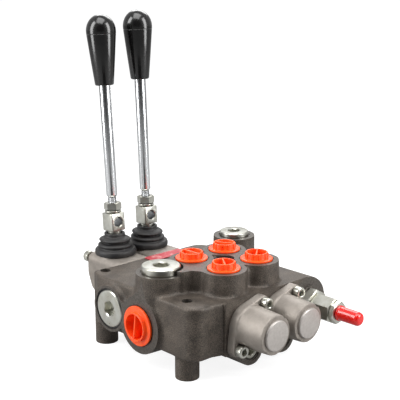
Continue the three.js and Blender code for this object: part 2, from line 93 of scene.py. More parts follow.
def soft_box(name, azimuth, elevation, distance, width, height, power):
    data = bpy.data.lights.new(name, "AREA")
    data.shape, data.size, data.size_y, data.energy = "RECTANGLE", width * MM, height * MM, power
    aim(data, around(looked_at, azimuth, elevation, distance), looked_at)


soft_box("left_box", -28, 24, 1100, 420, 1200, 12)
soft_box("right_box", 118, 26, 1100, 420, 1200, 13)
soft_box("top_box", 30, 78, 1200, 900, 900, 11)
soft_box("back_box", 225, 38, 1300, 900, 600, 7)


def linear(hex_colour):
    """An sRGB hex colour as linear red, green, blue and alpha."""
    parts = [int(hex_colour[i:i + 2], 16) / 255 for i in (1, 3, 5)]
    return [p / 12.92 if p <= 0.04045 else ((p + 0.055) / 1.055) ** 2.4 for p in parts] + [1.0]


def add(tree, kind, links=(), **settings):
    """Adds a node to a tree. A setting with the name of a socket sets that socket.

    Each link is a source node, its output and this node's input.
    """
    made = tree.nodes.new(kind)
    for name, value in settings.items():
        socket = made.inputs.get(name.replace("_", " "))
        if socket is not None and not hasattr(made, name):
            socket.default_value = value
        else:
            setattr(made, name, value)
    for source, output, target in links:
        tree.links.new(source.outputs[output], made.inputs[target])
    return made


def material(name, **shader):
    """A new material with its shader's constant values, its tree, shader and object coordinates."""
    made = bpy.data.materials.new(name)
    made.use_nodes = True
    tree = made.node_tree
    bsdf = tree.nodes["Principled BSDF"]
    for socket, value in shader.items():
        bsdf.inputs[socket.replace("_", " ")].default_value = value
    return made, tree, bsdf, add(tree, "ShaderNodeTexCoord")


# The room is white to the eye and grey to the object, with a dark opening where the camera stands.
world = bpy.data.worlds.new("studio")
bpy.context.scene.world = world
world.use_nodes = True
tree = world.node_tree
room = tree.nodes["Background"]
opening = (bpy.context.scene.camera.location - looked_at).normalized()
direction = add(tree, "ShaderNodeTexCoord")
toward = add(tree, "ShaderNodeVectorMath", [(direction, "Generated", 0)], operation="DOT_PRODUCT")
toward.inputs[1].default_value = opening
grey = add(tree, "ShaderNodeMapRange", [(toward, "Value", "Value")])
for socket, value in (("From Min", 0.55), ("From Max", 0.93), ("To Min", 0.5), ("To Max", 0.03)):
    grey.inputs[socket].default_value = value
ray = add(tree, "ShaderNodeLightPath")
seen = add(tree, "ShaderNodeMix", [(ray, "Is Camera Ray", "Factor"), (grey, "Result", "A")])
seen.inputs["B"].default_value = 1.0
tree.links.new(seen.outputs["Result"], room.inputs["Strength"])
room.inputs["Color"].default_value = linear("#FFFFFF")

paper, tree, shader = material("white_paper", Base_Color=linear("#8F8F8F"), Roughness=0.9,
                               Emission_Color=linear("#FFFFFF"))[:3]
ray = add(tree, "ShaderNodeLightPath")
glow = add(tree, "ShaderNodeMapRange", [(ray, "Is Camera Ray", "Value")])
glow.inputs["To Min"].default_value, glow.inputs["To Max"].default_value = 0.12, 0.88
tree.links.new(glow.outputs["Result"], shader.inputs["Emission Strength"])
FLOOR_HALF = 12  # metres, far past every view
sheet = bmesh.new()
bmesh.ops.create_grid(sheet, x_segments=1, y_segments=1, size=FLOOR_HALF)
floor_mesh = bpy.data.meshes.new("floor")
sheet.to_mesh(floor_mesh)
floor_mesh.materials.append(paper)
floor = bpy.data.objects.new("floor", floor_mesh)
bpy.context.scene.collection.objects.link(floor)

# A black card lies in front, seen only in reflections: it gives bright metal its dark stripes.
CARD_DISTANCE = 520
CARD_SIZE = (0.42, 0.72)  # metres
card = bmesh.new()
turn = math.radians(CAMERA_AZIMUTH)
card_at = place(math.sin(turn) * CARD_DISTANCE, -math.cos(turn) * CARD_DISTANCE, 1)
ahead = Matrix.Translation(card_at) @ Matrix.Rotation(turn, 4, "Z")
ahead = ahead @ Matrix.Diagonal((*CARD_SIZE, 1, 1))
bmesh.ops.create_grid(card, x_segments=1, y_segments=1, size=0.5, matrix=ahead)
card_mesh = bpy.data.meshes.new("black_card")
card.to_mesh(card_mesh)
black = material("black_card", Base_Color=linear("#0A0A0A"), Roughness=1.0)[0]
card_mesh.materials.append(black)
black_card = bpy.data.objects.new("black_card", card_mesh)
bpy.context.scene.collection.objects.link(black_card)
black_card.visible_camera = black_card.visible_diffuse = black_card.visible_shadow = False

# ---- Valve body ----
# One grey-iron sand casting, phosphated dark: bosses, lobes and feet run into each other with cast radii.
# The port faces, the two end faces and the foot pads are machined flat, and the bores are cut into it.
BLOCK = {"x": (-92, 38), "y": (-69, 60), "z": (20, 63.5), "corner": 12}
PITCH = 38
SECTIONS = (-PITCH / 2, PITCH / 2)
SPOOL_Z = 41.7
BOSS_TOP = 81.8
TANK_BOSS_TOP = 77.8
END_FACE = 43
WORK_PORTS = [(x, y) for y in SECTIONS for x in SECTIONS]
TANK_TOP, PRESSURE_TOP = (-19, -52.4), (-45, 57)
CARRY_OVER, TANK_SIDE, PRESSURE_SIDE = (-62, 39.5), (-23.2, 35.7), (-45, 39.5)
FRONT_FACE, BACK_FACE = -73, 79
RELIEF = (57, 40.5)
CHECKS = ((-10.2, 16.7), (27.8, 16.7))
FEET = ((-86.5, -57), (17, -57), (-14, 48))
FOOT_R = 9.6
CAP_SCREWS = [(y + s * 13.9, SPOOL_Z + s * 16.2) for y in SECTIONS for s in (1, -1)]
HOUSING_SCREWS = [(y + s * 14.4, SPOOL_Z - s * 16.9) for y in SECTIONS for s in (1, -1)]


def standing(axis, at):
    """The matrix that stands something built along Z on a point, along an axis."""
    return Matrix.Translation(at) @ Z.rotation_difference(axis).to_matrix().to_4x4()


def bar(bm, radius, axis, at, start, end, steps=64, top=None):
    """A closed round bar or cone between two distances along an axis through a point."""
    middle = standing(axis, Vector(at)) @ Matrix.Translation((0, 0, (start + end) / 2))
    bmesh.ops.create_cone(bm, cap_ends=True, segments=steps, radius1=radius,
                          radius2=radius if top is None else top, depth=end - start, matrix=middle)


def brick(bm, x, y, z):
    """A closed box between pairs of limits."""
    low, high = Vector((x[0], y[0], z[0])), Vector((x[1], y[1], z[1]))
    matrix = Matrix.Translation((low + high) / 2) @ Matrix.Diagonal((high - low).to_4d())
    matrix[3][3] = 1
    bmesh.ops.create_cube(bm, size=1, matrix=matrix)


def hull(bm, *rings):
    """The closed skin round circles, each given as radius, axis, centre and steps."""
    verts = []
    for radius, axis, at, steps in rings:
        matrix = standing(axis, Vector(at))
        verts += bmesh.ops.create_circle(bm, segments=steps, radius=radius, matrix=matrix)["verts"]
    bmesh.ops.convex_hull(bm, input=verts)


SHARP = 35  # degrees between faces, from which an edge is drawn sharp


def thing(name, bm, *finishes, sharp=SHARP):
    """A mesh in its place in metres, with its finishes, smooth up to an angle between faces."""
    bmesh.ops.scale(bm, vec=(MM, MM, MM), verts=bm.verts)
    bmesh.ops.translate(bm, vec=MIDDLE, verts=bm.verts)
    mesh = bpy.data.meshes.new(name)
    bm.to_mesh(mesh)
    bm.free()
    for finish in finishes:
        mesh.materials.append(finish)
    made = bpy.data.objects.new(name, mesh)
    bpy.context.scene.collection.objects.link(made)
    mesh.shade_smooth()
    mesh.set_sharp_from_angle(angle=math.radians(sharp))
    return made


def settle(target):
    """Applies a thing's modifiers."""
    shaped = target.evaluated_get(bpy.context.evaluated_depsgraph_get())
    finished = bpy.data.meshes.new_from_object(shaped)
    target.modifiers.clear()
    target.data = finished
    finished.shade_smooth()
    finished.set_sharp_from_angle(angle=math.radians(SHARP))


def carve(target, tool, operation="DIFFERENCE"):
    """Cuts one thing with another, or joins it on. The tool's finish stays on the faces it makes."""
    modifier = target.modifiers.new("carve", "BOOLEAN")
    modifier.operation, modifier.solver, modifier.object = operation, "MANIFOLD", tool
    settle(target)
    bpy.data.objects.remove(tool)


def cutter(bar_sizes, finish):
    """A closed bar as a thing to cut with, which leaves its finish on the faces it makes."""
    bm = bmesh.new()
    bar(bm, *bar_sizes)
    return thing("cutter", bm, finish)


def cast_skin(target, voxel, rounds):
    """Melts overlapping solids into one skin and rounds its corners, as a casting's are."""
    remesh = target.modifiers.new("melt", "REMESH")
    remesh.mode, remesh.voxel_size = "VOXEL", voxel * MM
    smooth = target.modifiers.new("round", "SMOOTH")
    smooth.factor, smooth.iterations = 0.5, rounds
    settle(target)


def fit(made, body, node):
    """Lets a finished thing ride on its body in place of its design solid."""
    made.name = f"{node}_finished"
    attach(made, body)
    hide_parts(node)


def noise(tree, where, **settings):
    """A noise pattern over a thing; a Scale of 1000 makes spots about 1 mm wide."""
    return add(tree, "ShaderNodeTexNoise", [(where, "Object", "Vector")], **settings)


def ramp(tree, pattern, *stops):
    """A colour for each value of a pattern, between two stops of (value, colour)."""
    tone = add(tree, "ShaderNodeValToRGB", [(pattern, "Fac", "Fac")])
    for element, (value, colour) in zip(tone.color_ramp.elements, stops):
        element.position, element.color = value, colour
    return tone


def tint(tree, shader, pattern, low, dark, high, light):
    """Colours a shader by a pattern, from dark at the low value to light at the high one."""
    tone = ramp(tree, pattern, (low, linear(dark)), (high, linear(light)))
    tree.links.new(tone.outputs["Color"], shader.inputs["Base Color"])


def satin(tree, shader, pattern, low, high):
    """Lets a shader's roughness follow a pattern between two values."""
    gloss = add(tree, "ShaderNodeMapRange", [(pattern, "Fac", "Value")])
    gloss.inputs["To Min"].default_value, gloss.inputs["To Max"].default_value = low, high
    tree.links.new(gloss.outputs["Result"], shader.inputs["Roughness"])


def bumps(tree, shader, pattern, strength, distance):
    """Raises a shader's surface by a pattern; the distance is in metres."""
    fine = add(tree, "ShaderNodeBump", [(pattern, "Fac", "Height")], Strength=strength, Distance=distance)
    tree.links.new(fine.outputs["Normal"], shader.inputs["Normal"])


# Phosphated grey iron, sand cast: dark warm grey, with darker blotches and pale specks that are painted
# glints of sparkle.
cast_iron, tree, shader, where = material("phosphated_cast_iron", Metallic=0.35)
blotch = noise(tree, where, Scale=90.0, Detail=6.0, Roughness=0.6)  # 11 mm
speck = noise(tree, where, Scale=1500.0, Detail=3.0, Roughness=0.7)  # 0.7 mm
tone = ramp(tree, blotch, (0.3, linear("#3A3530")), (0.72, linear("#58514A")))
# Pale specks, some brighter than white: painted glints, the casting's sparkle painted into its colour.
painted_sparkle = ramp(tree, speck, (0.4, (0.62, 0.62, 0.62, 1)), (0.72, (2.3, 2.2, 2.1, 1)))
mixed = add(tree, "ShaderNodeMix", data_type="RGBA", blend_type="MULTIPLY")
mixed.inputs[0].default_value = 1.0
tree.links.new(tone.outputs["Color"], mixed.inputs[6])
tree.links.new(painted_sparkle.outputs["Color"], mixed.inputs[7])
tree.links.new(mixed.outputs[2], shader.inputs["Base Color"])
satin(tree, shader, blotch, 0.42, 0.62)
sand = add(tree, "ShaderNodeBump", [(speck, "Fac", "Height")], Strength=0.5, Distance=0.00025)
waves = add(tree, "ShaderNodeBump", [(blotch, "Fac", "Height"), (sand, "Normal", "Normal")],
            Strength=0.35, Distance=0.0006)
tree.links.new(waves.outputs["Normal"], shader.inputs["Normal"])

# The same iron where it is machined: smoother and more even, with faint tool marks.
machined_iron, tree, shader, where = material("machined_cast_iron", Metallic=0.5, Roughness=0.42)
lines = noise(tree, where, Scale=700.0, Detail=2.0)  # 1.4 mm
tint(tree, shader, lines, 0.35, "#47423D", 0.7, "#5F5A54")
bumps(tree, shader, lines, 0.25, 0.0001)

SPARE = 2  # stands proud of a machined face until it is cut flat
END_SPARE = 1.5
BOSS_ROOT, DEEP_ROOT = 57, 30  # heights inside the block where the upright bosses start
WORK_BOSS, TANK_BOSS, PRESSURE_BOSS = (19.2, 18.5), (21.2, 20.6), (19.1, 18.5)  # radii at root and top
SIDE_BOSS_R, LOBE_R = 19.9, 12.9
RIB_HALF = 9

bm = bmesh.new()
brick(bm, BLOCK["x"], BLOCK["y"], BLOCK["z"])
upright = [e for e in bm.edges if abs((e.verts[0].co - e.verts[1].co).z) > 40]
bmesh.ops.bevel(bm, geom=upright, offset=BLOCK["corner"], segments=8,
                affect="EDGES", profile=0.5, material=-1)
bar(bm, 22.3, X, (0, *RELIEF), -6, END_FACE + END_SPARE, 96)
bar(bm, 15.6, X, (0, *RELIEF), 30, END_FACE + END_SPARE + 2, 96)
for x, y in WORK_PORTS:
    bar(bm, WORK_BOSS[0], Z, (x, y, 0), BOSS_ROOT, BOSS_TOP + SPARE, 96, top=WORK_BOSS[1])
low_web = BOSS_TOP - 2.5
for side in SECTIONS:
    brick(bm, SECTIONS, (side - RIB_HALF - 0.5, side + RIB_HALF + 0.5), (BOSS_ROOT, BOSS_TOP + SPARE))
    brick(bm, (side - RIB_HALF, side + RIB_HALF), SECTIONS, (BOSS_ROOT, low_web))

# Two webs join the tank boss to the work ports. Each is the hull round four uprights of x, y and radius.
web_at_tank = [(-15, -47, 8), (-0.8, -46, 5.2), (3, -19, 5), (-22, -19, 5)]
web_at_port = [(3.5, -38.4, 3.6), (13, -31, 4.6), (3, -19, 5), (19, -19, 5)]
for web in (web_at_tank, web_at_port):
    hull(bm, *[(r, Z, (x, y, z), 32) for x, y, r in web for z in (BOSS_ROOT, BOSS_TOP + SPARE)])
bar(bm, TANK_BOSS[0], Z, (*TANK_TOP, 0), DEEP_ROOT, TANK_BOSS_TOP + SPARE, 96, top=TANK_BOSS[1])
bar(bm, PRESSURE_BOSS[0], Z, (*PRESSURE_TOP, 0), DEEP_ROOT, BOSS_TOP + SPARE, 96, top=PRESSURE_BOSS[1])

# The side bosses: the carry-over port's, the tank port's with a throat up to the ledge, and the
# pressure port's.
bar(bm, SIDE_BOSS_R, -Y, (CARRY_OVER[0], 0, CARRY_OVER[1]), 55, SPARE - FRONT_FACE, 96)
hull(bm,
     (23.8, Y, (TANK_SIDE[0], FRONT_FACE - SPARE, TANK_SIDE[1]), 96),
     (24.6, Y, (TANK_SIDE[0], -56, TANK_SIDE[1]), 96),
     (3, Y, (TANK_SIDE[0] + 1, FRONT_FACE - SPARE, 61), 24),
     (3, Y, (TANK_SIDE[0] + 1, -56, 61), 24))
bar(bm, 20.8, Y, (PRESSURE_SIDE[0], 0, PRESSURE_SIDE[1]), 45, BACK_FACE + SPARE, 96, top=20.2)
for y, z in CHECKS:
    ends = (-9.8, END_FACE + END_SPARE)
    hull(bm, *[(LOBE_R, X, (x, y, z), 96) for x in ends],
         *[(3, X, (x, y - 25, 22.2), 24) for x in ends],
         *[(3, X, (x, y + 9.8, 26), 24) for x in ends])
for x, y in FEET:
    bar(bm, FOOT_R + 0.2, Z, (x, y, 0), -SPARE, BLOCK["z"][1], 72)
corner = [(12.4, FEET[1][0] + 6, FEET[1][1] + 4), (2, 39.5, -38.8)]
hull(bm, *[(r, Z, (x, y, z), 48) for r, x, y in corner for z in BLOCK["z"]])
valve_body = thing("valve_body", bm, cast_iron, machined_iron)
cast_skin(valve_body, voxel=1.25, rounds=9)

# The pad for the spring caps is joined on with crisp edges, then every face is cut flat.
bm = bmesh.new()
brick(bm, (20, END_FACE), (-40.6, RELIEF[0]), (19.5, BLOCK["z"][1] + 0.05))
edges = [e for e in bm.edges if abs(e.verts[0].co.y - e.verts[1].co.y) < 1]
bmesh.ops.bevel(bm, geom=edges, offset=0.7, segments=3, affect="EDGES", profile=0.5, material=-1)
carve(valve_body, thing("spring_cap_pad", bm, cast_iron), "UNION")
everywhere = (-130, 110)
for x, y, z in (
        (everywhere, everywhere, (BOSS_TOP, 110)), (everywhere, everywhere, (-20, 0)),
        (everywhere, (-130, FRONT_FACE), everywhere), (everywhere, (BACK_FACE, 110), everywhere),
        ((-130, BLOCK["x"][0]), everywhere, (15, 110))):
    bm = bmesh.new()
    brick(bm, x, y, z)
    carve(valve_body, thing("facing", bm, machined_iron))
tank_facing = cutter((23, Z, (*TANK_TOP, 0), TANK_BOSS_TOP, 110, 96), machined_iron)
carve(tank_facing, cutter((19.2, Z, (*WORK_PORTS[0], 0), 60, 120, 96), machined_iron))
bm = bmesh.new()
hull(bm, *[(r, Z, (x, y, z), 32) for x, y, r in web_at_tank for z in (60, 120)])
carve(tank_facing, thing("kept_web", bm, machined_iron))
carve(tank_facing, cutter((18.2, Z, (*TANK_TOP, 0), TANK_BOSS_TOP, 110, 96), machined_iron), "UNION")
carve(valve_body, tank_facing)
bm = bmesh.new()
brick(bm, (END_FACE, 90), (-100, 110), (-5, 100))
end_facing = thing("end_facing", bm, machined_iron)
carve(end_facing, cutter((15, X, (0, *RELIEF), 40, 45, 96), machined_iron))
carve(valve_body, end_facing)

bores = []
for y in SECTIONS:
    at = (0, y, SPOOL_Z)
    bores += [(9, X, at, -93, 44), (12, X, at, 35, 44), (11.2, X, at, -89, -85.4)]
for x, y in WORK_PORTS:
    at = (x, y, 0)
    bores += [(10.4, Z, at, 60, 84), (7, Z, at, 45, 61), (14.5, Z, at, BOSS_TOP - 0.6, 84)]
at = (*TANK_TOP, 0)
bores += [(17, Z, at, TANK_BOSS_TOP - 0.8, 84), (13.2, Z, at, 62, 84), (10, Z, at, 35, 63)]
bores += [(14, Z, (*PRESSURE_TOP, 0), BOSS_TOP - 0.8, 84), (10.3, Z, (*PRESSURE_TOP, 0), 62, 84)]
bores += [(8, Z, (*PRESSURE_TOP, 0), 39.5, 63)]
side = (TANK_SIDE[0], 0, TANK_SIDE[1])
bores += [(17.3, -Y, side, 72.4, 74), (13.2, -Y, side, 48, 74)]
side = (CARRY_OVER[0], 0, CARRY_OVER[1])
bores += [(17.5, -Y, side, 68.4, 74), (13.2, -Y, side, 50, 74), (7, -Y, side, 24, 51)]
side = (PRESSURE_SIDE[0], 0, PRESSURE_SIDE[1])
bores += [(10.3, Y, side, 54, 80), (7, Y, side, 14, 55)]
bores += [(10.5, X, (0, *RELIEF), 16, 47), (4, X, (0, *RELIEF), -46, 17)]
for y, z in CHECKS:
    bores += [(9.2, X, (0, y, z), 42, 44), (8.1, X, (0, y, z), 26, 44), (6.6, X, (0, y, z), 0, 27)]
    bores += [(4, Z, (8, y - 4.4, 0), z, SPOOL_Z)]
bores += [(4.5, Z, (x, y, 0), -1, 84) for x, y in FEET]
bores += [(3.2, X, (0, y, z), 31, 44) for y, z in CAP_SCREWS]
bores += [(3.2, X, (0, y, z), -93, -80) for y, z in HOUSING_SCREWS]
for bore in bores:
    carve(valve_body, cutter((*bore, 72), machined_iron))
fit(valve_body, "valve", "valve_body")

# ---- Steel plugs ----
# Turned steel plugs with flat flanges close the tank and pressure ports on top and the carry-over port
# in the side. Each is zinc plated, with a hexagon socket for the key; the side one lies flush on a
# black seal ring.
def turned(outline, axis, at, soft=0.3, ring=False, steps=72):
    """Spins an outline of (radius, distance along the axis) into a closed body with its corners eased."""
    points = [Vector((r, 0, h)) for r, h in outline]
    corners = list(zip(points, points[1:] + points[:1], points[2:] + points[:2]))
    eased = [] if ring else [points[0]]
    for before, corner, after in corners if ring else corners[:-2]:
        reach = min(soft, (before - corner).length / 2.3, (after - corner).length / 2.3)
        start = corner + (before - corner).normalized() * reach
        end = corner + (after - corner).normalized() * reach
        eased += [start.lerp(corner, t).lerp(corner.lerp(end, t), t) for t in (0, 0.33, 0.67, 1)]
    if not ring:
        eased.append(points[-1])
    bm = bmesh.new()
    verts = [bm.verts.new(p) for p in eased]
    edges = [bm.edges.new(pair) for pair in zip(verts, verts[1:])]
    if ring:
        edges.append(bm.edges.new((verts[-1], verts[0])))
    bmesh.ops.spin(bm, geom=verts + edges, cent=(0, 0, 0), axis=(0, 0, 1), dvec=(0, 0, 0),
                   angle=math.tau, steps=steps, use_merge=True, use_duplicate=False)
    bmesh.ops.remove_doubles(bm, verts=bm.verts, dist=1e-4)
    bmesh.ops.recalc_face_normals(bm, faces=bm.faces)
    bmesh.ops.transform(bm, matrix=standing(axis, Vector(at)), verts=bm.verts)
    return bm


# Zinc plate: pale silver grey with a faint warm cast, satin, lightly clouded and scuffed.
zinc, tree, shader, where = material("zinc_plated_steel", Metallic=1.0)
cloud = noise(tree, where, Scale=120.0, Detail=5.0, Roughness=0.65)  # 8 mm
tint(tree, shader, cloud, 0.3, "#B9B7AA", 0.7, "#D0D1CB")
satin(tree, shader, cloud, 0.24, 0.34)
scuff = noise(tree, where, Scale=900.0, Detail=3.0)  # 1.1 mm
bumps(tree, shader, scuff, 0.12, 0.00005)

# Nitrile rubber: matt black with a grey bloom of dust.
rubber, tree, shader, where = material("black_nitrile_rubber", Specular_IOR_Level=0.45)
dust = noise(tree, where, Scale=70.0, Detail=7.0, Roughness=0.7)  # 14 mm
tint(tree, shader, dust, 0.42, "#19191B", 0.85, "#3E3B38")
satin(tree, shader, dust, 0.35, 0.7)
bumps(tree, shader, dust, 0.25, 0.0002)

PLUGS = {
    "tank_top_plug": (16, 12.8, 12, Z, (*TANK_TOP, 0), TANK_BOSS_TOP - 0.5, TANK_BOSS_TOP + 5.8, 64.8),
    "pressure_top_plug": (13, 9.9, 10, Z, (*PRESSURE_TOP, 0), BOSS_TOP - 0.5, BOSS_TOP + 4, 67.3),
    "carry_over_plug": (16, 12.8, 12, -Y, (CARRY_OVER[0], 0, CARRY_OVER[1]), 68.8, 73, 56),
}
for name, (flange, thread, socket, axis, at, under, face, tip) in PLUGS.items():
    plug = thing(name, turned(
        [(0, tip), (thread - 1, tip), (thread, tip + 1), (thread, under), (flange, under),
         (flange, face - 0.8), (flange - 0.8, face), (0, face)], axis, at, soft=0.12, steps=96), zinc)
    carve(plug, cutter((socket / math.sqrt(3), axis, at, face - 7, face + 1, 6), zinc))
    carve(plug, cutter((socket * 0.5, axis, at, face - 0.8, face + 0.4, 48, socket * 0.64), zinc))
    fit(plug, "valve", name)
seal = thing("carry_over_plug_seal", turned(
    [(16.2, 69), (17.3, 69), (17.3, 72.4), (16.2, 72.4)],
    -Y, (CARRY_OVER[0], 0, CARRY_OVER[1]), soft=0.5, ring=True), rubber)
fit(seal, "valve", "carry_over_plug_seal")

# ---- Load check valves ----
# A steel poppet in each lobe under a spool, closed in by a short plug with a hexagon socket.
for n, (y, z) in enumerate(CHECKS, 1):
    plug = thing(f"check_valve_plug_{n}", turned(
        [(0, 29), (7.2, 29), (7.8, 29.8), (7.8, 41.2), (7, 42), (0, 42)], X, (0, y, z), soft=0.25), zinc)
    carve(plug, cutter((8 / math.sqrt(3), X, (0, y, z), 36, 43, 6), zinc))
    carve(plug, cutter((4.1, X, (0, y, z), 41.3, 42.4, 48, 5.3), zinc))
    fit(plug, "valve", f"check_valve_plug_{n}")
    poppet = thing(f"check_valve_poppet_{n}", turned(
        [(0, 6), (2.5, 6), (6, 10.5), (6, 23), (4.4, 23), (4.4, 15), (0, 15)],
        X, (0, y, z), steps=48), zinc)
    fit(poppet, f"check_poppet_{n}", f"check_valve_poppet_{n}")

# ---- Spools ----
# Ground and chromed steel bars with grooves between their lands. Each ends in a flat tongue with an eye
# for the lever's ball, and a rubber ring seals it at the lever end of its bore.
bright, tree, shader, where = material("chromed_steel", Metallic=1.0, Base_Color=linear("#DFE1E3"))
drawn = noise(tree, where, Scale=300.0, Detail=4.0)  # 3.3 mm
satin(tree, shader, drawn, 0.12, 0.24)
bumps(tree, shader, drawn, 0.15, 0.0001)

PIVOT = (-120.5, 62.7)
ARM = 21
LEANS = (4, 2.9)
KNOB_FROM = (152.6, 155.2)
for n, (y, lean) in enumerate(zip(SECTIONS, LEANS), 1):
    at = (0, y, SPOOL_Z)
    spool = thing(f"spool_{n}", turned(
        [(0, -127.5), (8.2, -127.5), (8.7, -127), (8.7, -56), (6, -54), (6, -36), (8.7, -34), (8.7, -9),
         (6, -7), (6, 7), (8.7, 9), (8.7, 41.9), (0, 41.9)], X, at, soft=0.15, steps=64), bright)
    eye = PIVOT[0] + ARM * math.sin(math.radians(lean))
    for low, high in ((4.5, 10), (-10, -4.5)):
        bm = bmesh.new()
        brick(bm, (-129, -112), (y - 10, y + 10), (SPOOL_Z + low, SPOOL_Z + high))
        carve(spool, thing("flat", bm, bright))
    carve(spool, cutter((5.4, Z, (eye, y, SPOOL_Z), -6, 6, 48), bright))
    carve(spool, cutter((3.2, X, at, 35, 43, 32), bright))
    fit(spool, f"spool_{n}", f"spool_{n}")
    ring = thing(f"spool_seal_{n}", turned(
        [(9.05, -88.7), (11, -88.7), (11, -85.7), (9.05, -85.7)], X, at, soft=0.9, ring=True), rubber)
    fit(ring, "valve", f"spool_seal_{n}")

# ---- Centring springs and their caps ----
# A coil spring between two cups on a bolt holds each spool in the middle, inside a die-cast cap.
# The cap's flange reaches out to its two screw ears; the disc on its end is turned bright.
die_cast, tree, shader, where = material("die_cast_alloy", Metallic=0.55)
mottle = noise(tree, where, Scale=140.0, Detail=7.0, Roughness=0.65)  # 7 mm
grit = noise(tree, where, Scale=2200.0, Detail=2.0)  # 0.45 mm
tint(tree, shader, mottle, 0.3, "#827B74", 0.7, "#99928A")
satin(tree, shader, mottle, 0.42, 0.6)
bumps(tree, shader, grit, 0.3, 0.00015)

# The same alloy where it is turned bright, with fine tool marks.
turned_alloy, tree, shader, where = material("turned_alloy", Metallic=0.6, Roughness=0.4)
lines = noise(tree, where, Scale=500.0, Detail=3.0)  # 2 mm
tint(tree, shader, lines, 0.3, "#ACA6A1", 0.7, "#B8B3AE")
bumps(tree, shader, lines, 0.15, 0.0001)

# Plain machined steel: mid grey with an oily sheen.
steel, tree, shader, where = material("oiled_steel", Metallic=1.0, Base_Color=linear("#9C9EA0"))
oil = noise(tree, where, Scale=200.0, Detail=4.0)  # 5 mm
satin(tree, shader, oil, 0.2, 0.42)


def coil(name, wire, radius, start, end, turns, at):
    """A closed helical spring of round wire along X."""
    bm = bmesh.new()
    upright = Matrix.Translation((radius, 0, 0)) @ Matrix.Rotation(math.pi / 2, 4, "X")
    bmesh.ops.create_circle(bm, segments=12, radius=wire, cap_ends=True, matrix=upright)
    steps = turns * 28
    run = end - start - 2 * wire
    bmesh.ops.spin(bm, geom=bm.verts[:] + bm.edges[:] + bm.faces[:], cent=(0, 0, 0), axis=(0, 0, 1),
                   dvec=(0, 0, run / steps), angle=math.tau * turns, steps=steps, use_duplicate=False)
    bmesh.ops.recalc_face_normals(bm, faces=bm.faces)
    bmesh.ops.transform(bm, matrix=standing(X, Vector(at) + X * (start + wire)), verts=bm.verts)
    return thing(name, bm, steel)


def socket_screw(name, axis, at, tip, seat, body):
    """An M6 screw with a cylinder head and a 5 mm hexagon socket."""
    thread = [(2.9 if k % 2 else 2.5, tip + 0.6 + 0.5 * k) for k in range(16)]
    screw = thing(name, turned(
        [(0, tip), (2.3, tip), *thread, (2.9, tip + 9.5), (2.9, seat), (5, seat), (5, seat + 5.1),
         (4.4, seat + 5.7), (0, seat + 5.7)], axis, at, soft=0.2, steps=60), zinc)
    carve(screw, cutter((5 / math.sqrt(3), axis, at, seat + 2.7, seat + 7, 6), zinc))
    carve(screw, cutter((2.6, axis, at, seat + 5.2, seat + 5.9, 36, 3.3), zinc))
    fit(screw, body, name)


for n, y in enumerate(SECTIONS, 1):
    at = (0, y, SPOOL_Z)
    cup = thing(f"spring_cup_{n}", turned(
        [(3.4, 42.2), (11.2, 42.2), (11.2, 45.5), (9.9, 45.5), (9.9, 43.6), (3.4, 43.6)],
        X, at, ring=True), steel)
    fit(cup, f"spool_{n}", f"spring_cup_{n}")
    spring = coil(f"centering_spring_{n}", 0.95, 8.55, 43.9, 61.7, 5, at)
    fit(spring, f"spool_{n}", f"centering_spring_{n}")
    bolt = thing(f"spring_bolt_{n}", turned(
        [(0, 36), (3, 36), (3, 62), (9.6, 62), (9.6, 63.6), (6, 63.6), (6, 67), (0, 67)], X, at), steel)
    fit(bolt, f"spool_{n}", f"spring_bolt_{n}")

    ears = CAP_SCREWS[2 * n - 2:2 * n]
    bm = bmesh.new()
    hull(bm, (18, X, (42.6, y, SPOOL_Z), 96), (18, X, (50.6, y, SPOOL_Z), 96),
         *[(5.8, X, (x, *ear), 48) for ear in ears for x in (42.6, 50.6)])
    bar(bm, 17.7, X, at, 43, 76.1, 96, top=16)
    cap = thing(f"spring_cap_{n}", bm, die_cast, turned_alloy)
    cast_skin(cap, 0.6, 4)
    bm = bmesh.new()
    brick(bm, (30, 43.3), (y - 30, y + 30), (0, 80))
    carve(cap, thing("seat_facing", bm, die_cast))
    for sy, sz in ears:
        carve(cap, cutter((6.4, X, (0, sy, sz), 50.6, 80, 48), die_cast))
        carve(cap, cutter((3.3, X, (0, sy, sz), 42, 52, 32), die_cast))
    disc = turned([(0, 74.8), (12.4, 74.8), (12.4, 77.7), (11.8, 78.3), (0, 78.3)],
                  X, at, soft=0.4, steps=96)
    carve(cap, thing("end_disc", disc, turned_alloy), "UNION")
    carve(cap, cutter((12.5, X, at, 42, 74.5, 64), die_cast))
    fit(cap, "valve", f"spring_cap_{n}")
for n, (y, z) in enumerate(CAP_SCREWS, 1):
    socket_screw(f"spring_cap_screw_{n}", X, (0, y, z), 33, 50.9, "valve")

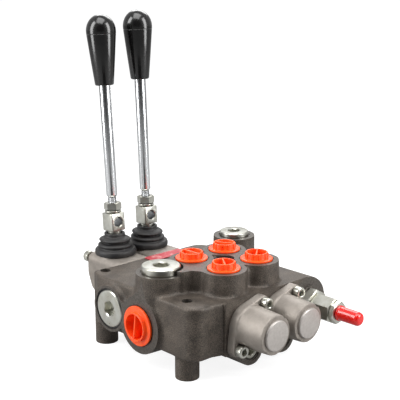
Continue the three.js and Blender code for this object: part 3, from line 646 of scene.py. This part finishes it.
# ---- Lever housings ----
# Light alloy castings bolted to the other end face. Each has a round neck that holds the ball seat of
# its lever, with a bore below it for the lever's arm and ball.
for n, y in enumerate(SECTIONS, 1):
    bm = bmesh.new()
    corners = [(-92, 24.5), (-92, 57.2), (-133, 57.2), (-133, 47), (-128, 35), (-118, 28), (-105, 24.5)]
    hull(bm, *[(6, X, (x - 6 * (x < -100), y + side, z), 32)
               for x, z in corners for side in (-12.4, 12.4)])
    bar(bm, 16.6, Z, (PIVOT[0], y, 0), 58, 67.6, 96)
    housing = thing(f"lever_housing_{n}", bm, die_cast, turned_alloy)
    cast_skin(housing, 0.9, 5)
    bm = bmesh.new()
    brick(bm, (-92.3, -80), (y - 30, y + 30), (0, 80))
    carve(housing, thing("seat_facing", bm, die_cast))
    bm = bmesh.new()
    brick(bm, (-150, -80), (y - 30, y + 30), (67.2, 80))
    carve(housing, thing("neck_facing", bm, turned_alloy))
    for radius, axis, at, start, end in (
            (9.9, X, (0, y, SPOOL_Z), -136, -90), (8.6, Z, (PIVOT[0], y, 0), SPOOL_Z, 57),
            (10.6, Z, (PIVOT[0], y, 0), 55.5, 69)):
        carve(housing, cutter((radius, axis, at, start, end, 64), turned_alloy))
    for (sy, sz), seat in zip(HOUSING_SCREWS[2 * n - 2:2 * n], (-104.3, -138.5)):
        carve(housing, cutter((3.2, X, (0, sy, sz), -150, -90, 32), turned_alloy))
        carve(housing, cutter((5.6, X, (0, sy, sz), -150, seat, 48), turned_alloy))
    fit(housing, "valve", f"lever_housing_{n}")
    seat = thing(f"pivot_seat_{n}", turned(
        [(6.4, 55.8), (10.3, 55.8), (10.3, 67), (8.4, 67), (8.4, 60.4), (6.4, 57.4)],
        Z, (PIVOT[0], y, 0), ring=True), steel)
    fit(seat, "valve", f"pivot_seat_{n}")
for n, (y, z) in enumerate(HOUSING_SCREWS, 1):
    seat = (104.3, 138.5)[(n - 1) % 2] + 0.3
    socket_screw(f"lever_housing_screw_{n}", -X, (0, y, z), 81, seat, "valve")

# ---- Hand levers ----
# A zinc-plated stem with its ball below and a drilled square block above. A chromed rod screws into the
# block, locked by a spring washer and an M8 nut, and a moulded gloss black knob sits on its top.
phenolic, tree, shader, where = material("moulded_phenolic", Coat_Weight=0.35, Coat_Roughness=0.08)
scratch = noise(tree, where, Scale=60.0, Detail=8.0, Roughness=0.7)  # 17 mm
tint(tree, shader, scratch, 0.4, "#080808", 0.8, "#161515")
satin(tree, shader, scratch, 0.1, 0.3)
bumps(tree, shader, scratch, 0.12, 0.0003)


def hexagon(flats, start, end, axis, at, spin=0.0):
    """A hexagon bar with its corners turned off at both ends."""
    bm = bmesh.new()
    turned_to = standing(axis, Vector(at)) @ Matrix.Rotation(spin, 4, "Z")
    corner_r = flats / math.sqrt(3)
    matrix = turned_to @ Matrix.Translation((0, 0, (start + end) / 2))
    bmesh.ops.create_cone(bm, cap_ends=True, segments=6, radius1=corner_r, radius2=corner_r,
                          depth=end - start, matrix=matrix)
    made = thing("hexagon", bm, zinc)
    wide, ease = corner_r + 0.2, flats * 0.047
    carve(made, thing("cones", turned(
        [(0, start - 0.01), (flats / 2 - 0.1, start - 0.01), (wide, start + ease), (wide, end - ease),
         (flats / 2 - 0.1, end + 0.01), (0, end + 0.01)], axis, at, soft=0.1, steps=96), zinc), "INTERSECT")
    return made


BALL_R, ARM_BALL_R = 8, 4.6
BLOCK_UP, BLOCK_WIDE, BLOCK_TALL = 30.4, 14.6, 16.5
KNOB_WAIST, KNOB_DOME_R, KNOB_TALL = 47, 13, 61.3  # the dome stands on the waist
for n, (y, lean) in enumerate(zip(SECTIONS, LEANS), 1):
    up = Vector((-math.sin(math.radians(lean)), 0, math.cos(math.radians(lean))))
    across = Vector((up.z, 0, -up.x))
    pivot = Vector((PIVOT[0], y, PIVOT[1]))
    middle = pivot + up * BLOCK_UP
    bm = bmesh.new()
    bmesh.ops.create_uvsphere(bm, u_segments=48, v_segments=32, radius=BALL_R, matrix=standing(up, pivot))
    # The stem's second finish, the darker oiled steel, is for its drilled hole: painted shade inside the
    # bore.
    stem = thing(f"lever_stem_{n}", bm, zinc, steel)
    bm = bmesh.new()
    bmesh.ops.create_uvsphere(bm, u_segments=32, v_segments=24, radius=ARM_BALL_R,
                              matrix=standing(up, pivot - up * ARM))
    carve(stem, thing("arm_shaft", turned(
        [(0, -ARM), (2.6, -ARM), (2.6, 0), (0, 0)], up, pivot, steps=32), zinc), "UNION")
    carve(stem, thing("arm_ball", bm, zinc), "UNION")
    carve(stem, thing("neck", turned(
        [(0, 2), (6, 2), (6, 23), (0, 23)], up, pivot, steps=64), zinc), "UNION")
    bm = bmesh.new()
    tilted = Matrix.Translation(middle) @ Matrix.Rotation(-math.radians(lean), 4, "Y")
    shape = Matrix.Diagonal((BLOCK_WIDE, BLOCK_WIDE, BLOCK_TALL, 1))
    bmesh.ops.create_cube(bm, size=1, matrix=tilted @ shape)
    bmesh.ops.bevel(bm, geom=bm.edges[:], offset=1.1, segments=4, affect="EDGES", profile=0.5, material=-1)
    carve(stem, thing("block", bm, zinc), "UNION")
    carve(stem, cutter((4.25, across, middle, 6.6, 7.7, 64, 5.4), zinc))
    carve(stem, cutter((5.4, across, middle, -7.7, -6.6, 64, 4.25), zinc))
    # The drilled hole through the block takes the darker oiled steel finish: painted shade inside the bore.
    carve(stem, cutter((4.25, across, middle, -9, 9, 64), steel))
    carve(stem, cutter((4.1, up, middle, 0, 9, 48), zinc))
    fit(stem, f"lever_{n}", f"lever_stem_{n}")

    washer = thing(f"lever_washer_{n}", turned(
        [(4.3, 39.1), (7.3, 39.1), (7.3, 40.7), (4.3, 40.7)], up, pivot, soft=0.3, ring=True), zinc)
    bm = bmesh.new()
    bmesh.ops.create_cube(bm, size=1, matrix=Matrix.Translation(pivot + up * 40 + across * 5.6)
                          @ Matrix.Rotation(0.5, 4, "X") @ Matrix.Diagonal((5, 0.9, 6, 1)))
    carve(washer, thing("split", bm, zinc))
    fit(washer, f"lever_{n}", f"lever_washer_{n}")

    nut = hexagon(13.8, 41.3, 47.8, up, pivot, spin=0.33 - 0.06 * n)
    nut.name = f"lever_nut_{n}"
    carve(nut, cutter((4.15, up, pivot, 41, 48, 48), zinc))
    fit(nut, f"lever_{n}", f"lever_nut_{n}")

    low = KNOB_FROM[n - 1]
    thread = [(3.9 if k % 2 else 3.35, 36 + 0.625 * k) for k in range(27)]
    bm = turned(
        [(0, 35.4), (3.2, 35.4), *thread, (3.6, 53), (3.9, 53.2), (5, 54.6),
         (5, low + 27.6), (0, low + 27.6)], up, pivot, soft=0.2, steps=64)
    for face in bm.faces:
        face.material_index = int((face.calc_center_median() - pivot).dot(up) < 53.3)
    rod = thing(f"lever_rod_{n}", bm, bright, steel)
    fit(rod, f"lever_{n}", f"lever_rod_{n}")

    angles = [k * math.pi / 48 for k in range(1, 24)]
    dome = [(KNOB_DOME_R * math.cos(t), low + KNOB_WAIST + 14.3 * math.sin(t)) for t in angles]
    knob = thing(f"lever_knob_{n}", turned(
        [(0, low + 28.6), (5.2, low + 28.6), (5.2, low), (7.5, low), (8.3, low + 0.8), (10.6, low + 22),
         (12.85, low + 43.9), (12.7, low + 44.1), (12.7, low + 44.3), (12.95, low + 44.5),
         (KNOB_DOME_R, low + KNOB_WAIST), *dome, (0, low + KNOB_TALL)],
        up, pivot, soft=0.4, steps=96), phenolic)
    fit(knob, f"lever_{n}", f"lever_knob_{n}")

# ---- Rubber boots ----
# Moulded nitrile bellows: the wide lip grips the housing's neck and the collar grips the lever's stem.
# At rest each follows the lean of its lever, and its folds sag a little unevenly.
for n, (y, lean) in enumerate(zip(SECTIONS, LEANS), 1):
    outline = [
        (17.1, 63.7), (18.3, 63.6), (18.7, 65), (18.7, 67), (17.9, 68.8), (15.4, 69.4), (14.8, 70.2),
        (15.7, 71.3), (15.6, 72.6), (14.2, 73.6), (11.9, 74.2), (11.8, 75), (14, 75.9), (14.5, 77),
        (13.2, 78.2), (9.7, 79.4), (9.3, 80.4), (9.4, 82.4), (8.9, 83), (6.8, 83), (6.8, 79.2),
        (9, 78.4), (12, 77.3), (12.1, 76.8), (9.9, 75.6), (9.9, 74), (13.4, 72.7), (13.7, 71.9),
        (12.9, 70.2), (13, 68.9), (16.6, 67.9), (17.1, 67.4)]
    bm = turned(outline, Z, (0, 0, 0), soft=0.8, ring=True, steps=96)
    for vert in bm.verts:
        turn, high = math.atan2(vert.co.y, vert.co.x), max(0, vert.co.z - 68.5)
        sag = math.sin(turn + 2.2 * n) + 0.5 * math.sin(3 * turn + n)
        vert.co.z += 0.35 * sag * min(1, high / 4) * min(1, max(0, 81 - vert.co.z) / 3)
        vert.co.x -= 1.22 * high * math.tan(math.radians(lean))
    bmesh.ops.translate(bm, vec=(PIVOT[0], y, 0), verts=bm.verts)
    boot = thing(f"boot_{n}_finished", bm, rubber, sharp=60)
    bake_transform(boot)
    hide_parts(f"boot_{n}")

# ---- Relief valve ----
# A cartridge screwed into the body, its spring housing, a lock nut, and the adjusting screw under a
# red cap. Poppet and spring sit inside the cartridge.
at = (0, *RELIEF)
cartridge = hexagon(24, 45.3, 53, X, at, spin=math.pi / 6)
cartridge.name = "relief_cartridge"
carve(cartridge, thing("shank", turned(
    [(0, 18), (9.6, 18), (10.2, 18.8), (10.2, 45.6), (0, 45.6)], X, at), zinc), "UNION")
carve(cartridge, cutter((5.6, X, at, 24, 54, 48), zinc))
carve(cartridge, cutter((2.6, X, at, 17, 25, 32), zinc))
fit(cartridge, "valve", "relief_cartridge")
housing = hexagon(19, 53.3, 72.5, X, at, spin=math.pi / 6)
housing.name = "relief_spring_housing"
carve(housing, cutter((5.6, X, at, 53, 66, 48), zinc))
carve(housing, cutter((4.2, X, at, 65, 73, 48), zinc))
fit(housing, "valve", "relief_spring_housing")
nut = hexagon(17, 72.8, 77, X, at, spin=0.2)
nut.name = "relief_lock_nut"
carve(nut, cutter((4.2, X, at, 72, 78, 48), zinc))
fit(nut, "valve", "relief_lock_nut")
thread = [(3.9 if k % 2 else 3.35, 63.6 + 0.625 * k) for k in range(44)]
screw = thing("relief_adjusting_screw", turned(
    [(0, 60.5), (5.2, 60.5), (5.2, 63), (3.4, 63), *thread, (3.4, 92), (0, 92)],
    X, at, soft=0.15, steps=48), steel)
fit(screw, "relief_adjusting_screw", "relief_adjusting_screw")
spring = coil("relief_spring", 0.85, 4.35, 35.3, 60.2, 8, at)
fit(spring, "valve", "relief_spring")
poppet = thing("relief_poppet", turned(
    [(0, 25), (2.2, 25), (4.9, 29.5), (5.2, 35), (0, 35)], X, at, steps=48), steel)
fit(poppet, "relief_poppet", "relief_poppet")

# Dipped vinyl: glossy clear red.
red_vinyl, tree, shader, where = material("red_vinyl", Subsurface_Weight=0.1, Subsurface_Scale=0.002,
                                           Coat_Weight=0.5, Coat_Roughness=0.08)
cloud = noise(tree, where, Scale=180.0, Detail=4.0)  # 5.6 mm
tint(tree, shader, cloud, 0.3, "#D30A06", 0.75, "#E81A0E")
satin(tree, shader, cloud, 0.12, 0.3)
cap = thing("relief_cap", turned(
    [(0, 94), (4.4, 94), (4.4, 77.3), (6.5, 77.3), (6.5, 78.6), (5.8, 79), (5.75, 96.4), (5, 98.2),
     (3.4, 99), (0, 99)], X, at, soft=0.7, steps=64), red_vinyl)
fit(cap, "relief_cap", "relief_cap")

# ---- Port caps ----
# Injection-moulded orange polyethylene: a flange on the port face, a ribbed cup above it with a grip rib
# across, and a skirt that grips the thread.
orange, tree, shader, where = material("orange_polyethylene", Subsurface_Weight=0.25,
                                        Subsurface_Scale=0.0025, Subsurface_Radius=(1.0, 0.35, 0.15))
haze = noise(tree, where, Scale=150.0, Detail=5.0)  # 6.7 mm
tint(tree, shader, haze, 0.3, "#F4480C", 0.75, "#FF5E1A")
satin(tree, shader, haze, 0.28, 0.45)
bumps(tree, shader, haze, 0.15, 0.0002)


def port_cap(name, cup, rise, flange, thick, skirt, axis, at, face, angle, ribs):
    """A cap on a port's face. The cup stands the rise above it; the grip rib is turned by the angle."""
    wall = 1.3
    spin = math.radians(angle)
    stand = standing(axis, Vector(at))
    cap = thing(name, turned(
        [(0, face - 8), (skirt - 0.6, face - 8), (skirt, face - 7.2), (skirt, face), (flange, face),
         (flange, face + thick), (cup, face + thick), (cup, face + rise), (cup - wall, face + rise),
         (cup - wall, face - 6.8), (0, face - 6.8)], axis, at, soft=0.3, steps=96), orange)
    bm = bmesh.new()
    across = Matrix.Translation((0, 0, face + rise / 2 - 3.2)) @ Matrix.Rotation(spin, 4, "Z")
    shape = Matrix.Diagonal((2 * cup - wall, 1.4, rise + 6.2, 1))
    bmesh.ops.create_cube(bm, size=1, matrix=across @ shape)
    bmesh.ops.bevel(bm, geom=bm.edges[:], offset=0.25, segments=2, affect="EDGES", profile=0.5, material=-1)
    bmesh.ops.transform(bm, matrix=stand, verts=bm.verts)
    carve(cap, thing("grip_rib", bm, orange), "UNION")
    bm = bmesh.new()
    above = rise - thick
    out = Matrix.Translation((cup, 0, face + thick + above * 0.42))
    rib = Matrix.Diagonal((1, 1.1, above * 0.9, 1))
    for k in range(ribs):
        turn = Matrix.Rotation(spin + math.tau * (k + 0.5) / ribs, 4, "Z")
        bmesh.ops.create_cube(bm, size=1, matrix=stand @ turn @ out @ rib)
    carve(cap, thing("side_ribs", bm, orange), "UNION")
    fit(cap, name, name)


HALF_INCH = {"cup": 9.2, "flange": 13.4, "thick": 1.6, "skirt": 9.9, "ribs": 10}
for (x, y), name, angle in zip(WORK_PORTS, ("a1", "b1", "a2", "b2"), (2, -37, 32, -50)):
    port_cap(f"port_cap_{name}", axis=Z, at=(x, y, 0), face=BOSS_TOP - 0.3, rise=6.5, angle=angle,
             **HALF_INCH)
port_cap("port_cap_tank", cup=11.8, flange=16.6, thick=1.8, skirt=12.8, ribs=4, axis=-Y,
         at=(TANK_SIDE[0], 0, TANK_SIDE[1]), face=73.3, rise=4.6, angle=83)
port_cap("port_cap_pressure", axis=Y, at=(PRESSURE_SIDE[0], 0, PRESSURE_SIDE[1]), face=79.3, rise=6,
         angle=40, **HALF_INCH)

# ---- Name plate ----
# A thin aluminium plate printed red, rubbed pale where hands and rags have passed. It carries no
# lettering.
plate_red, tree, shader, where = material("printed_plate", Metallic=0.2)
worn = noise(tree, where, Scale=110.0, Detail=8.0, Roughness=0.7)  # 9 mm
tint(tree, shader, worn, 0.5, "#A82A36", 0.78, "#D9B3AE")
satin(tree, shader, worn, 0.3, 0.6)
bm = bmesh.new()
brick(bm, (-90, -77), (-11, 30), (BLOCK["z"][1] + 0.2, BLOCK["z"][1] + 0.8))
short = [e for e in bm.edges if abs((e.verts[0].co - e.verts[1].co).z) > 0.3]
bmesh.ops.bevel(bm, geom=short, offset=1.5, segments=5, affect="EDGES", profile=0.5, material=-1)
plate = thing("name_plate", bm, plate_red)
bm = bmesh.new()
for y in (-8.5, 27.5):
    bar(bm, 1.3, Z, (-83.5, y, 0), 63.9, 64.3, 24, top=0.9)
carve(plate, thing("pins", bm, zinc), "UNION")
fit(plate, "valve", "name_plate")
